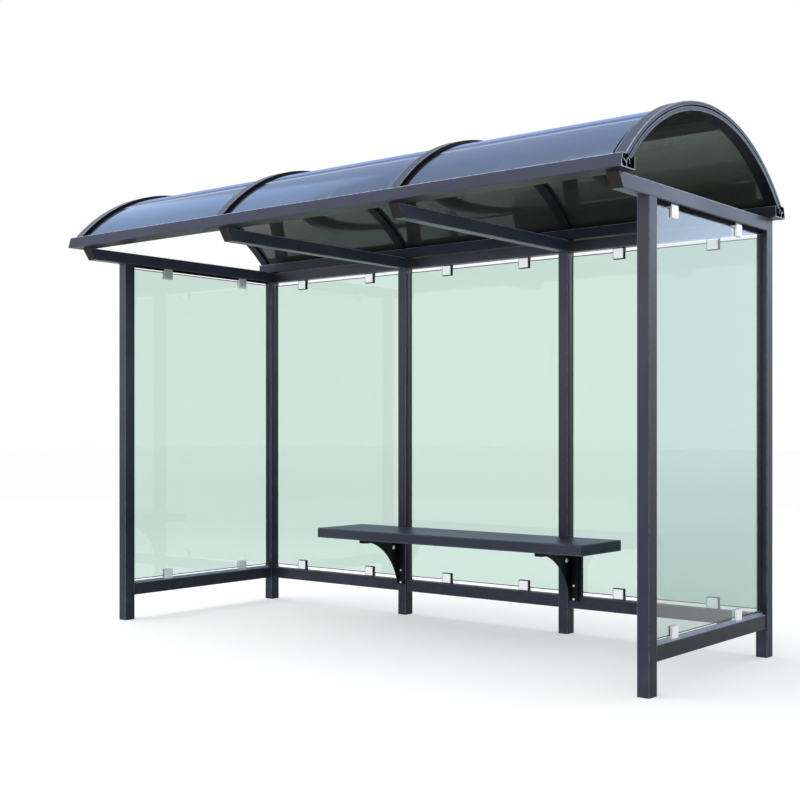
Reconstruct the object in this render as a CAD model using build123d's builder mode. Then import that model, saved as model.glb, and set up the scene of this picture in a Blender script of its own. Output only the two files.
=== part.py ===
from build123d import *
import math
import os

# Bus shelter: six posts, a glazed back and ends, a barrel-vault roof on arched ribs, and a bench.
# Millimetres. X runs along the shelter, the open front faces -Y and +Z is up. The origin is on the
# ground, midway between the ends and midway between the outer edges of the two gutters.

os.makedirs("parts", exist_ok=True)

# ---- plan of the frame -------------------------------------------------------------------------
bay_pitch = 1160          # centre to centre of neighbouring posts along the back
bay_count = 3
frame_depth = 1300        # front face of the front posts to back face of the back posts
frame_front = -505        # Y of the front face of the front posts
post_width = 60           # along X
post_depth = 70           # along Y
tube_corner = 3           # outer corner radius of every rectangular tube

# ---- heights -----------------------------------------------------------------------------------
eaves_height = 2200       # top of the posts and cross beams, where the gutters sit
beam_height = 65          # cross beams, measured up to the eaves
top_rail_bottom = 2130
top_rail_height = 64      # stops short of the gutter and leaves a shadow gap
low_rail_bottom = 145
low_rail_height = 70
rail_depth = 50           # top and bottom rails, across their length

# ---- cross beams -------------------------------------------------------------------------------
beam_reach_top = 264      # overhang of the beam's top edge in front of the front post
beam_reach_bottom = 222   # the front end slants back to this at the underside

# ---- gutters -----------------------------------------------------------------------------------
gutter_overhang = 48      # past the end posts, along X
gutter_reach = 836        # outer bottom edge, from the middle of the roof
gutter_width = 119
gutter_height = 60
gutter_lean = 16          # the outer wall leans in by this at its top
gutter_inner_wall = 54
gutter_lip = 22           # inward lip at the top of the outer wall
gutter_skin = 4
web_stem = 50             # stem of the inner web, in from the outer bottom edge
web_skin = 3
cradle_depth = 12         # height of the two arms of the web
cradle_outer = 22         # reach of the outer arm from the stem
cradle_inner = 18
rib_seat = eaves_height + 26   # level where the rib feet rest on the web

# ---- vaulted roof ------------------------------------------------------------------------------
vault_radius = 1072       # outer face of the ribs
vault_centre = 1537       # height of the vault's axis
rib_width = 60
rib_cap = 17.5            # cap strip above the sheets
rib_groove = 7            # groove that holds the edge of a sheet
rib_base = 19.5           # bar below the sheets
rib_core = 20             # width left between the two grooves
sheet_thickness = 6
sheet_inset = 12          # from a rib's centre line to the edge of its sheet
sheet_foot = eaves_height + 24
vault_half_angle = 52     # past the gutters, before the feet are trimmed level
seal_width = 26           # rubber strip on the sheet beside a rib's cap
seal_thickness = 3

# ---- glass and its clamps ----------------------------------------------------------------------
glass_thickness = 8
glass_gap = 20            # above the bottom rail and below the rail or beam at the top
glass_side_gap = 10       # to the posts
clamp_width = 68          # along the sheet
clamp_height = 62
clamp_thickness = 28
clamp_slot = 8.6
clamp_foot = 18           # solid part between the rail and the slot
clamp_corner = 2.5
back_clamps = [(2, 292), (25, 277), (29, 272)]  # middle of a pair, and from there to each clamp
side_clamps = [(15, 316), (-45, 334)]

# ---- bench -------------------------------------------------------------------------------------
seat_length = 1850
seat_shift = 22           # the seat sits this far right of the middle
seat_depth = 413
seat_bottom = 486
seat_thickness = 58
seat_corner = 4
bracket_width = 50
bracket_arm = 372         # reach of the top flange from the posts
bracket_drop = 298        # length of the back flange
bracket_flange = 22       # top flange
bracket_skin = 10         # back flange
gusset_skin = 6
gusset_reach = 290        # length of the gusset along the top flange
gusset_drop = 278         # below the seat, where the hollow front edge meets the toe
gusset_toe = 20           # width of the gusset from there down
gusset_arc = 350          # radius of the hollow front edge
bolt_drops = (211, 285)   # below the seat
bolt_head_radius = 7
bolt_head_height = 6
gusset_bolt_in = 54       # from the posts
gusset_bolt_drop = 68     # below the seat
gusset_bolt_radius = 14
gusset_bolt_height = 5
bracket_left_x = -580
bracket_right_x = 657
packer_width = 90
packer_thickness = 20

# ---- derived ------------------------------------------------------------------------------------
half_length = (bay_pitch * bay_count + post_width) / 2
post_lines = [bay_pitch * (i - bay_count / 2) for i in range(bay_count + 1)]
front_post_y = frame_front + post_depth / 2
back_post_y = frame_front + frame_depth - post_depth / 2
back_face = back_post_y - post_depth / 2          # front face of the back posts
beam_bottom = eaves_height - beam_height
low_rail_top = low_rail_bottom + low_rail_height
gutter_end = half_length + gutter_overhang
vault_axis = Axis((0, 0, vault_centre), (-1, 0, 0))
vault_turn = math.radians(vault_half_angle)
vault_start = Plane(    # holds the vault's axis; its own Y is the radius at the front end of the arc
    origin=(0, 0, vault_centre),
    x_dir=(1, 0, 0),
    z_dir=(0, -math.cos(vault_turn), -math.sin(vault_turn)),
)
rib_pitch = (2 * gutter_end - rib_width) / bay_count
rib_lines = [rib_pitch * (i - bay_count / 2) for i in range(bay_count + 1)]
bay_clear = bay_pitch - post_width
side_clear = back_face - (frame_front + post_depth)
side_middle = (back_face + frame_front + post_depth) / 2
packer_x = post_lines[2] + (post_width + packer_width) / 2    # against the middle right post


def save(piece, label):
    """Label a finished piece and write its STEP file."""
    piece.part.label = label
    export_step(piece.part, f"parts/{label}.step")


def post(label, x, y, height):
    """An upright rectangular tube that stands on the ground."""
    with BuildPart() as piece:
        with BuildSketch():
            with Locations((x, y)):
                RectangleRounded(post_width, post_depth, tube_corner)
        extrude(amount=height)
    save(piece, label)


def rail_along_x(label, x_from, x_to, y, bottom, height):
    """A rectangular tube that runs along the shelter between two posts."""
    with BuildPart() as piece:
        with BuildSketch(Plane.YZ.offset(x_from)):
            with Locations((y, bottom + height / 2)):
                RectangleRounded(rail_depth, height, tube_corner)
        extrude(amount=x_to - x_from)
    save(piece, label)


def side_rail(label, x):
    """The bottom rail of an end, from the front post to the back post."""
    with BuildPart() as piece:
        with BuildSketch(Plane.XZ.offset(-back_face)):
            with Locations((x, low_rail_bottom + low_rail_height / 2)):
                RectangleRounded(rail_depth, low_rail_height, tube_corner)
        extrude(amount=side_clear)
    save(piece, label)


def cross_beam(label, x):
    """A beam from a back post over the front, its front end cut at a slant."""
    with BuildPart() as piece:
        with BuildSketch(Plane.YZ.offset(x - post_width / 2)):
            with BuildLine():
                Polyline(
                    (back_face, beam_bottom),
                    (back_face, eaves_height),
                    (frame_front - beam_reach_top, eaves_height),
                    (frame_front - beam_reach_bottom, beam_bottom),
                    close=True,
                )
            make_face()
        extrude(amount=post_width)
        fillet(piece.edges().filter_by(Axis.Y), tube_corner)
    save(piece, label)


def gutter(label, side):
    """An open-ended gutter extrusion; side is -1 at the front and 1 at the back.

    The floor and the two walls are one skin, and a web shaped like a Y stands on the floor and
    carries the rib feet.
    """
    outer = gutter_reach
    inner = gutter_reach - gutter_width
    floor = eaves_height + gutter_skin
    rim = eaves_height + gutter_height
    lean = gutter_lean / gutter_height
    stem = outer - web_stem
    fork = rib_seat - cradle_depth

    def place(points):
        return [(side * y, z) for y, z in points]

    with BuildPart() as piece:
        with BuildSketch(Plane.YZ.offset(-gutter_end)):
            with BuildLine():
                Polyline(
                    *place([
                        (outer, eaves_height),
                        (outer - gutter_lean, rim),
                        (outer - gutter_lean - gutter_lip, rim),
                        (outer - gutter_lean - gutter_lip, rim - gutter_skin),
                        (outer - gutter_skin - lean * (gutter_height - gutter_skin), rim - gutter_skin),
                        (outer - gutter_skin - lean * gutter_skin, floor),
                        (inner + gutter_skin, floor),
                        (inner + gutter_skin, eaves_height + gutter_inner_wall),
                        (inner, eaves_height + gutter_inner_wall),
                        (inner, eaves_height),
                    ]),
                    close=True,
                )
            make_face()
            with BuildLine():
                Polyline(
                    *place([
                        (stem + web_skin / 2, floor),
                        (stem + web_skin / 2, fork),
                        (stem + cradle_outer, rib_seat - web_skin),
                        (stem + cradle_outer, rib_seat),
                        (stem, fork + web_skin),
                        (stem - cradle_inner, rib_seat),
                        (stem - cradle_inner, rib_seat - web_skin),
                        (stem - web_skin / 2, fork),
                        (stem - web_skin / 2, floor),
                    ]),
                    close=True,
                )
            make_face()
        extrude(amount=2 * gutter_end)
    save(piece, label)


def roof_rib(label, x):
    """An arched rib: a base bar and a cap strip joined by a narrow core, feet trimmed level."""
    cap_bottom = vault_radius - rib_cap
    groove_bottom = cap_bottom - rib_groove
    with BuildPart() as piece:
        with BuildSketch(vault_start):
            with Locations((x, vault_radius - rib_cap / 2)):
                Rectangle(rib_width, rib_cap)
            with Locations((x, cap_bottom - rib_groove / 2)):
                Rectangle(rib_core, rib_groove)
            with Locations((x, groove_bottom - rib_base / 2)):
                Rectangle(rib_width, rib_base)
        revolve(axis=vault_axis, revolution_arc=2 * vault_half_angle)
        split(bisect_by=Plane.XY.offset(rib_seat), keep=Keep.TOP)
    save(piece, label)


def roof_sheet(label, x_from, x_to):
    """A curved sheet whose ends sit in the rib grooves and whose feet drop into the gutters."""
    middle = vault_radius - rib_cap - rib_groove / 2
    with BuildPart() as piece:
        with BuildSketch(vault_start):
            with Locations(((x_from + x_to) / 2, middle)):
                Rectangle(x_to - x_from, sheet_thickness)
        revolve(axis=vault_axis, revolution_arc=2 * vault_half_angle)
        split(bisect_by=Plane.XY.offset(sheet_foot), keep=Keep.TOP)
    save(piece, label)


def rib_seals(label):
    """Rubber strips that lie on the sheets along both sides of every rib's cap."""
    face = vault_radius - rib_cap - (rib_groove - sheet_thickness) / 2
    offset = (rib_width + seal_width) / 2
    strips = [x + offset for x in rib_lines[:-1]] + [x - offset for x in rib_lines[1:]]
    with BuildPart() as piece:
        with BuildSketch(vault_start):
            with Locations(*[(x, face + seal_thickness / 2) for x in strips]):
                Rectangle(seal_width, seal_thickness)
        revolve(axis=vault_axis, revolution_arc=2 * vault_half_angle)
        split(bisect_by=Plane.XY.offset(rib_seat), keep=Keep.TOP)
    save(piece, label)


def glass_back(label, x):
    """A sheet of glass in the back wall, centred on its bay."""
    bottom = low_rail_top + glass_gap
    height = top_rail_bottom - glass_gap - bottom
    with BuildPart() as piece:
        with BuildSketch(Plane.XY.offset(bottom)):
            with Locations((x, back_post_y)):
                Rectangle(bay_clear - 2 * glass_side_gap, glass_thickness)
        extrude(amount=height)
    save(piece, label)


def glass_side(label, x):
    """A sheet of glass in an end, between the front and the back post."""
    bottom = low_rail_top + glass_gap
    height = beam_bottom - glass_gap - bottom
    with BuildPart() as piece:
        with BuildSketch(Plane.XY.offset(bottom)):
            with Locations((x, side_middle)):
                Rectangle(glass_thickness, side_clear - 2 * glass_side_gap)
        extrude(amount=height)
    save(piece, label)


def clamp_set(label, plane, middle, spread, top):
    """Four square clamps of one sheet: two stand on the bottom rail and two hang from the top.

    The plane's origin is on the ground below the middle of the sheet, its X runs along the sheet
    and its Z points out of it. The clamps stand the same distance either side of their own middle.
    """
    low = low_rail_top + clamp_height / 2
    high = top - clamp_height / 2
    slot_height = clamp_height - clamp_foot
    left, right = middle - spread, middle + spread
    corners = [(left, low, 1), (right, low, 1), (left, high, -1), (right, high, -1)]
    with BuildPart() as piece:
        with BuildSketch(plane.offset(-clamp_thickness / 2)):
            with Locations(*[(x, z) for x, z, _ in corners]):
                RectangleRounded(clamp_width, clamp_height, clamp_corner)
        extrude(amount=clamp_thickness)
        with BuildSketch(plane.offset(-clamp_slot / 2)):
            with Locations(*[(x, z + up * clamp_foot / 2) for x, z, up in corners]):
                Rectangle(clamp_width, slot_height)
        extrude(amount=clamp_slot, mode=Mode.SUBTRACT)
    save(piece, label)


def bench_seat(label):
    """The seat slab, its back edge against the posts."""
    with BuildPart() as piece:
        with BuildSketch(Plane.XY.offset(seat_bottom)):
            with Locations((seat_shift, back_face - seat_depth / 2)):
                RectangleRounded(seat_length, seat_depth, seat_corner)
        extrude(amount=seat_thickness)
        fillet(piece.edges().group_by(Axis.Z)[-1], seat_corner)
    save(piece, label)


def bench_bracket(label, x):
    """A bracket under the seat: top flange, back flange and a gusset with a hollow front edge."""
    foot = seat_bottom - bracket_drop
    side = x - bracket_width / 2
    arc_foot = (back_face - gusset_toe, seat_bottom - gusset_drop)
    arc_top = (back_face - gusset_reach, seat_bottom - bracket_flange)
    run, rise = arc_top[0] - arc_foot[0], arc_top[1] - arc_foot[1]
    chord = math.hypot(run, rise)
    hollow = gusset_arc - math.sqrt(gusset_arc**2 - (chord / 2) ** 2)    # depth of the arc at its middle
    arc_middle = (
        (arc_foot[0] + arc_top[0]) / 2 + hollow * rise / chord,
        (arc_foot[1] + arc_top[1]) / 2 - hollow * run / chord,
    )
    with BuildPart() as piece:
        with BuildSketch(Plane.YZ.offset(side)):
            with Locations((back_face - bracket_arm / 2, seat_bottom - bracket_flange / 2)):
                Rectangle(bracket_arm, bracket_flange)
            with Locations((back_face - bracket_skin / 2, seat_bottom - bracket_drop / 2)):
                Rectangle(bracket_skin, bracket_drop)
        extrude(amount=bracket_width)
        with BuildSketch(Plane.YZ.offset(side)):
            with BuildLine():
                Line((back_face, seat_bottom), (back_face, foot))
                Line((back_face, foot), (arc_foot[0], foot))
                Line((arc_foot[0], foot), arc_foot)
                ThreePointArc(arc_foot, arc_middle, arc_top)
                Line(arc_top, (arc_top[0], seat_bottom))
                Line((arc_top[0], seat_bottom), (back_face, seat_bottom))
            make_face()
        extrude(amount=gusset_skin)
    save(piece, label)


def bracket_packer(label, x):
    """A plate that stands on the bottom rail beside a post; a bench bracket bolts to it."""
    with BuildPart() as piece:
        with BuildSketch(Plane.XY.offset(low_rail_top)):
            with Locations((x, back_face + packer_thickness / 2)):
                Rectangle(packer_width, packer_thickness)
        extrude(amount=seat_bottom - low_rail_top)
    save(piece, label)


def bracket_bolts(label):
    """Round bolt heads of the two brackets: two on each back flange and one on each gusset."""
    lines = (bracket_left_x, bracket_right_x)
    heads = [(x, seat_bottom - drop) for x in lines for drop in bolt_drops]
    with BuildPart() as piece:
        with BuildSketch(Plane.XZ.offset(bracket_skin - back_face)):
            with Locations(*heads):
                Circle(bolt_head_radius)
        extrude(amount=bolt_head_height)
        for x in lines:
            with BuildSketch(Plane.YZ.offset(x - bracket_width / 2 + gusset_skin)):
                with Locations((back_face - gusset_bolt_in, seat_bottom - gusset_bolt_drop)):
                    Circle(gusset_bolt_radius)
            extrude(amount=gusset_bolt_height)
    save(piece, label)


# ---- frame --------------------------------------------------------------------------------------
post_names = ("left", "mid_left", "mid_right", "right")
bay_names = ("left", "middle", "right")

post("post_front_left", post_lines[0], front_post_y, beam_bottom)
post("post_front_right", post_lines[-1], front_post_y, beam_bottom)
for name, x in zip(post_names, post_lines):
    post(f"post_back_{name}", x, back_post_y, eaves_height)
    cross_beam(f"cross_beam_{name}", x)

for name, line in zip(bay_names, post_lines):
    x_from = line + post_width / 2
    x_to = x_from + bay_clear
    rail_along_x(f"top_rail_{name}", x_from, x_to, back_post_y, top_rail_bottom, top_rail_height)
    rail_along_x(f"bottom_rail_{name}", x_from, x_to, back_post_y, low_rail_bottom, low_rail_height)
side_rail("side_rail_left", post_lines[0])
side_rail("side_rail_right", post_lines[-1])

# ---- roof ---------------------------------------------------------------------------------------
gutter("gutter_front", -1)
gutter("gutter_back", 1)
for name, x in zip(post_names, rib_lines):
    roof_rib(f"roof_rib_{name}", x)
for name, x_from, x_to in zip(bay_names, rib_lines, rib_lines[1:]):
    roof_sheet(f"roof_sheet_{name}", x_from + sheet_inset, x_to - sheet_inset)
rib_seals("rib_seals")

# ---- glass --------------------------------------------------------------------------------------
for name, line, (middle, spread) in zip(bay_names, post_lines, back_clamps):
    x = line + bay_pitch / 2
    glass_back(f"glass_back_{name}", x)
    back_plane = Plane(origin=(x, back_post_y, 0), x_dir=(1, 0, 0), z_dir=(0, -1, 0))
    clamp_set(f"clamps_back_{name}", back_plane, middle, spread, top_rail_bottom)
end_lines = (post_lines[0], post_lines[-1])
for name, x, (middle, spread) in zip(("left", "right"), end_lines, side_clamps):
    glass_side(f"glass_side_{name}", x)
    side_plane = Plane(origin=(x, side_middle, 0), x_dir=(0, 1, 0), z_dir=(1, 0, 0))
    clamp_set(f"clamps_side_{name}", side_plane, middle, spread, beam_bottom)

# ---- bench --------------------------------------------------------------------------------------
bench_seat("bench_seat")
bench_bracket("bench_bracket_left", bracket_left_x)
bench_bracket("bench_bracket_right", bracket_right_x)
bracket_packer("bracket_packer", packer_x)
bracket_bolts("bracket_bolts")
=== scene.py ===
import math

import bpy
import numpy as np
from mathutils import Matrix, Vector
from mathutils.geometry import tessellate_polygon


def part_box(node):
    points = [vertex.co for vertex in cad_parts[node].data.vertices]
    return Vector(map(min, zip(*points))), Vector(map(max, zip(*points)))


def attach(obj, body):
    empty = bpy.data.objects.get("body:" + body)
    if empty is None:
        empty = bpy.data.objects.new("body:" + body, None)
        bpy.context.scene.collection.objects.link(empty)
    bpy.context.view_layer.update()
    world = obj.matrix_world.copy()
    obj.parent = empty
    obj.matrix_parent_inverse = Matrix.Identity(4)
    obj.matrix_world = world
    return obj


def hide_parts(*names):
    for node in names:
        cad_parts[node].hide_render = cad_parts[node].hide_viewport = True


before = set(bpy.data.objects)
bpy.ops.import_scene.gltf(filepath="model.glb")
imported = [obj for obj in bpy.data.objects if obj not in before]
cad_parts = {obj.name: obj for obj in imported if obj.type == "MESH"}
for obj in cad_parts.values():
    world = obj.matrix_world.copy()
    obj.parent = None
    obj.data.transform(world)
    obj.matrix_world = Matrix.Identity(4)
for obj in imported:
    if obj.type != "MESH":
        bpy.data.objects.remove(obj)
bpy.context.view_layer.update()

# Bus shelter: the looks of its tubes, gutters, ribs, roof sheets, glass, clamps and bench.
# Metres, in the frame of the CAD part: X along the shelter, -Y the open front, +Z up.
# A skin is a closed surface: (points, faces, wear), with wear from 0 on a flat to 1 on an edge.

# ---- sizes that the boxes of the frame don't give ----
TUBE_CORNER = 0.003       # outer corner radius of the rectangular tubes
TUBE_WALL = 0.003
BORE = dict(radius=0.0015, flat=0.001)  # rounding of the hollow in a tube
LIP = 0.0006              # rounding of a cut end
END_CHORDS = 2            # chords in that rounding
INSET_SHARE = 0.9         # an end is inset by no more of the room in its corners than this
SHARP = math.radians(40)  # edges that turn by more are drawn sharp
FLAT = 0.002              # strip beside a rounded edge that is kept level
ARC_STEPS = 3             # chords in a rounded corner
BEAM_TIP = 0.042          # the underside of a cross beam stops short of its top by this
PLUG_FLANGE = 0.002       # plastic over the whole slanted end of a cross beam
PLUG_DEPTH = 0.012        # body of the plug, in the bore
PLUG_SLACK = 0.0004       # the plug is narrower than what it fits by this
PLUG_LIP = 0.0005
TOP_HIGHLIGHT_BAND = 0.008          # edges get a painted highlight only this far down from the top
GUTTER_SKIN = 0.004
GUTTER_LEAN = 0.016       # the outer wall leans in by this at its rim
GUTTER_LIP = 0.022
GUTTER_INNER_WALL = 0.054
WEB_STEM = 0.050          # stem of the inner web, in from the outer bottom edge
RIB_CAP = 0.0175
RIB_GROOVE = 0.007
RIB_BASE = 0.0195
RIB_CORE = 0.020
SHEET = 0.006             # thickness of a roof sheet
CAP_FOOT = 0.058          # level of the cap's foot above the gutter's underside
BASE_FOOT = 0.044         # level of the base bar's foot
ARCH_ROWS = 97            # rows of points from foot to foot of the vault
CLAMP_WIDTH = 0.068       # along the sheet of glass
CLAMP_HEIGHT = 0.062
CLAMP_FOOT = 0.018        # block between the jaws, at the rail
CLAMP_RIM = 0.0042        # of the jaw, round its face plate
CLAMP_GLASS_SIDE = 0.0049 # the jaws begin this far from the middle of the glass
CLAMP_FACE = 0.014        # and the face plates end this far from it
CLAMP_PLATE = 0.0026      # thickness of a face plate
CLAMP_PAD = 0.0008        # thickness of the pad between a jaw and the glass
EDGE_BAND = 0.0045        # seamed strip round the edge of a glass sheet
GUSSET = 0.006            # thickness of a bracket's gusset
GUSSET_BOLT_IN = 0.054    # its bolt, in from the back and down from the seat
GUSSET_BOLT_DROP = 0.068
BACK_BOLT_DROPS = (0.211, 0.285)  # bolts of the back flange, down from the seat
SILL = 0.012              # strip on the rails at the ends, under the glass
HEAD_SHADOW_STRIP = 0.012         # black strip under the beams at the ends, a painted shadow line


def box(node):
    """Lowest and highest corner of a CAD node, as arrays."""
    low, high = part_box(node)
    return np.array(low), np.array(high)


# The ribs give the vault: half the chord c and the rise h give the radius (h^2 + c^2) / 2h.
rib_low, rib_high = box("roof_rib_left")
RISE, HALF_CHORD = rib_high[2] - rib_low[2], (rib_high[1] - rib_low[1]) / 2
VAULT_RADIUS = (RISE ** 2 + HALF_CHORD ** 2) / (2 * RISE)
VAULT_AXIS = rib_high[2] - VAULT_RADIUS

# ---- shapes ------------------------------


def outline(corners, radius=TUBE_CORNER, steps=ARC_STEPS, flat=FLAT):
    """A closed outline, anticlockwise, with its corners rounded, and how worn each point is.

    An arc of radius r that turns by t leaves its two sides r tan(t / 2) before and after the corner.
    Its points are the centre plus the starting arm turned by equal parts of t. One more point on
    each side, a little further off, keeps the flats flat. Outward corners wear and hollows don't.
    """
    corners = np.asarray(corners, float)
    radius = np.array(np.broadcast_to(radius, len(corners)), float)
    following = np.roll(corners, -1, axis=0)
    if np.sum(corners[:, 0] * following[:, 1] - following[:, 0] * corners[:, 1]) < 0:
        corners, radius = corners[::-1], radius[::-1]
    side = np.roll(corners, -1, axis=0) - corners
    length = np.linalg.norm(side, axis=1)
    after = side / length[:, None]
    before = np.roll(after, 1, axis=0)
    left = np.stack([-before[:, 1], before[:, 0]], axis=1)
    turn = np.arctan2((left * after).sum(1), (before * after).sum(1))
    setback = radius * np.tan(abs(turn) / 2)
    spare = length - setback - np.roll(setback, -1)
    tail = np.minimum(flat, 0.45 * spare)
    lead = np.roll(tail, 1)
    inward = left * (radius * np.sign(turn))[:, None]
    centre = corners - before * setback[:, None] + inward
    angle = turn[:, None] * np.linspace(0, 1, steps + 1)
    cosine, sine = np.cos(angle), np.sin(angle)
    arm_x, arm_y = -inward[:, :1], -inward[:, 1:]
    arm = np.stack([arm_x * cosine - arm_y * sine, arm_x * sine + arm_y * cosine], axis=2)
    first = corners - before * (setback + lead)[:, None]
    last = corners + after * (setback + tail)[:, None]
    points = np.concatenate([first[:, None], centre[:, None] + arm, last[:, None]], axis=1)
    wear = np.zeros(points.shape[:2])
    wear[:, 1:-1] = (turn > 0)[:, None]
    return points.reshape(-1, 2), wear.ravel()


def rectangle(width, height, centre=(0, 0), **rounding):
    """The outline of a rectangle about a centre."""
    half = np.array([[-1, -1], [1, -1], [1, 1], [-1, 1]]) * (width / 2, height / 2)
    return outline(half + centre, **rounding)


def circle(radius, centre=(0, 0), count=24, wear=0.0):
    """The outline of a circle: the centre plus r (cos a, sin a)."""
    angle = np.arange(count) * 2 * np.pi / count
    points = np.stack([np.cos(angle), np.sin(angle)], axis=1) * radius + centre
    return points, np.full(count, wear)


def inward_of(points):
    """How far each point of an outline moves for a unit of inset.

    It is the mean of the left normals of its two sides, divided by the cosine of half the turn.
    """
    side = np.roll(points, -1, axis=0) - points
    left = np.stack([-side[:, 1], side[:, 0]], axis=1) / np.linalg.norm(side, axis=1)[:, None]
    mean = left + np.roll(left, 1, axis=0)
    mean /= np.linalg.norm(mean, axis=1)[:, None]
    return mean / np.maximum((mean * left).sum(1), 0.3)[:, None]


def room_within(points, inward):
    """How far an outline can move inwards before one of its edges shrinks to nothing.

    An edge e whose ends move by a and b for each metre keeps its direction up to e.e / e.(a - b).
    """
    edge = np.roll(points, -1, axis=0) - points
    length = (edge * edge).sum(1)
    shrink = (edge * (inward - np.roll(inward, -1, axis=0))).sum(1)
    closing = (length > 1e-12) & (shrink > 1e-9)
    return (length[closing] / shrink[closing]).min(initial=1.0)


def volume_of(points, faces):
    """Signed volume under the faces: the sum over triangles of a . (b x c) / 6."""
    total = 0.0
    for group in faces:
        for k in range(1, group.shape[1] - 1):
            a, b, c = points[group[:, 0]], points[group[:, k]], points[group[:, k + 1]]
            total += np.einsum("ij,ij->", a, np.cross(b, c)) / 6
    return total


def extruded(loops, rows, place):
    """A closed skin: an outline and its holes, carried along a path.

    Row k is each loop moved inwards by depth[k] and put in place at along[k]. Where a corner is too
    tight for the deepest row, all depths of that loop shrink by one share, so it never crosses
    itself. Quads join row to row, and triangles of the flat outline close the first and the last
    row. The faces are turned about if the volume comes out negative, so they point outwards.
    """
    along, depth, worn = rows
    points, faces, wear, ends, first = [], [], [], [[], []], 0
    for number, (flat, flat_wear) in enumerate(loops):
        if number:
            flat, flat_wear = flat[::-1], flat_wear[::-1]
        inward = inward_of(flat)
        room = INSET_SHARE * room_within(flat, inward)
        fitted = depth * (room / depth.max() if depth.max() > room else 1)
        at = flat + fitted[:, None, None] * inward
        index = first + np.arange(at.shape[0] * at.shape[1]).reshape(at.shape[:2])
        low, high = index[:-1], index[1:]
        quads = np.stack([low, np.roll(low, -1, 1), np.roll(high, -1, 1), high], axis=2)
        faces.append(quads.reshape(-1, 4))
        points.append(place(at[..., 0], at[..., 1], along[:, None]).reshape(-1, 3))
        wear.append(np.maximum(flat_wear, worn[:, None]).ravel())
        ends[0].append((index[0], at[0]))
        ends[1].append((index[-1], at[-1]))
        first += index.size
    points = np.concatenate(points)
    for loops_here, turned in zip(ends, (True, False)):
        index = np.concatenate([i for i, _ in loops_here])
        flat = np.concatenate([p for _, p in loops_here])
        rings = [np.pad(p, ((0, 0), (0, 1))).tolist() for _, p in loops_here]
        corners = np.array(tessellate_polygon(rings))
        a, b, c = flat[corners[:, 0]], flat[corners[:, 1]], flat[corners[:, 2]]
        area = (b - a)[:, 0] * (c - a)[:, 1] - (b - a)[:, 1] * (c - a)[:, 0]
        wrong = (area < 0) != turned
        corners[wrong] = corners[wrong][:, ::-1]
        faces.append(index[corners])
    if volume_of(points, faces) < 0:
        faces = [group[:, ::-1] for group in faces]
    return points, faces, np.concatenate(wear)


def cut_ends(length, lip=LIP, border=None):
    """Rows of a run with both ends rounded: lip (1 - cos t) along and lip (1 - sin t) in.

    A flat strip goes on from the rounding along the run, and another one, or a wider border, across
    the end.
    """
    flat = min(lip, 0.4 * (length / 2 - lip))
    turn = np.linspace(0, np.pi / 2, END_CHORDS + 1)
    along = np.r_[0, lip * (1 - np.cos(turn)), lip + flat]
    depth = np.r_[lip + flat if border is None else border, lip * (1 - np.sin(turn)), 0]
    worn = np.r_[0, np.ones(END_CHORDS + 1), 0]
    return np.r_[along, length - along[::-1]], np.r_[depth, depth[::-1]], np.r_[worn, worn[::-1]]


def straight(origin, across, up, along):
    """Places an outline on a straight path: origin + u across + v up + w along."""
    origin, across, up, along = (np.array(v, float) for v in (origin, across, up, along))

    def place(u, v, w):
        u, v, w = np.broadcast_arrays(u, v, w)
        return origin + u[..., None] * across + v[..., None] * up + w[..., None] * along

    return place


def arched(x, trim):
    """Places an outline on the vault, its second coordinate being the radius.

    w runs from -1 at the front to 1 at the back, and the angle from the top is w acos(h / radius),
    where h is the height of the trimmed foot above the vault's axis, so the feet come out level.
    """
    def place(u, v, w):
        u, v, w = np.broadcast_arrays(u, v, w)
        angle = w * np.arccos((trim - VAULT_AXIS) / v)
        return np.stack([x + u, v * np.sin(angle), VAULT_AXIS + v * np.cos(angle)], axis=-1)

    return place


def arch_rows():
    """Even rows from foot to foot, with no rounding."""
    along = np.linspace(-1, 1, ARCH_ROWS)
    return along, np.zeros(ARCH_ROWS), np.zeros(ARCH_ROWS)


X, Y, Z = np.eye(3)


def plate(low, high, normal, radius=0.002, lip=0.001, border=None):
    """A flat plate that fills a box: its outline lies across the normal, its faces are rounded off."""
    low, high = np.asarray(low, float), np.asarray(high, float)
    axes = [k for k in range(3) if k != normal]
    middle = (low + high) / 2
    size = high - low
    origin = np.where(np.arange(3) == normal, low, middle)
    loops = [rectangle(size[axes[0]], size[axes[1]], radius=radius, flat=radius)]
    across, up = np.eye(3)[axes]
    place = straight(origin, across, up, np.eye(3)[normal])
    return extruded(loops, cut_ends(size[normal], lip, border), place)


def face_normals(skin):
    """Unit normals of the faces, in the order in which a piece lists them."""
    points, faces, _ = skin
    normals = []
    for group in faces:
        one, two = points[group[:, 2]] - points[group[:, 0]], points[group[:, -1]] - points[group[:, 1]]
        found = np.cross(one, two)
        normals.append(found / np.maximum(np.linalg.norm(found, axis=1), 1e-12)[:, None])
    return np.concatenate(normals)


def face_centres(skin):
    """The mean of each face's corners, in the same order."""
    points, faces, _ = skin
    return np.concatenate([points[group].mean(axis=1) for group in faces])


def radial(skin):
    """How far each face looks away from the vault's axis, from -1 to 1."""
    out = (face_centres(skin) - (0, 0, VAULT_AXIS))[:, 1:]
    return (face_normals(skin)[:, 1:] * out).sum(1) / np.linalg.norm(out, axis=1)


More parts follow.
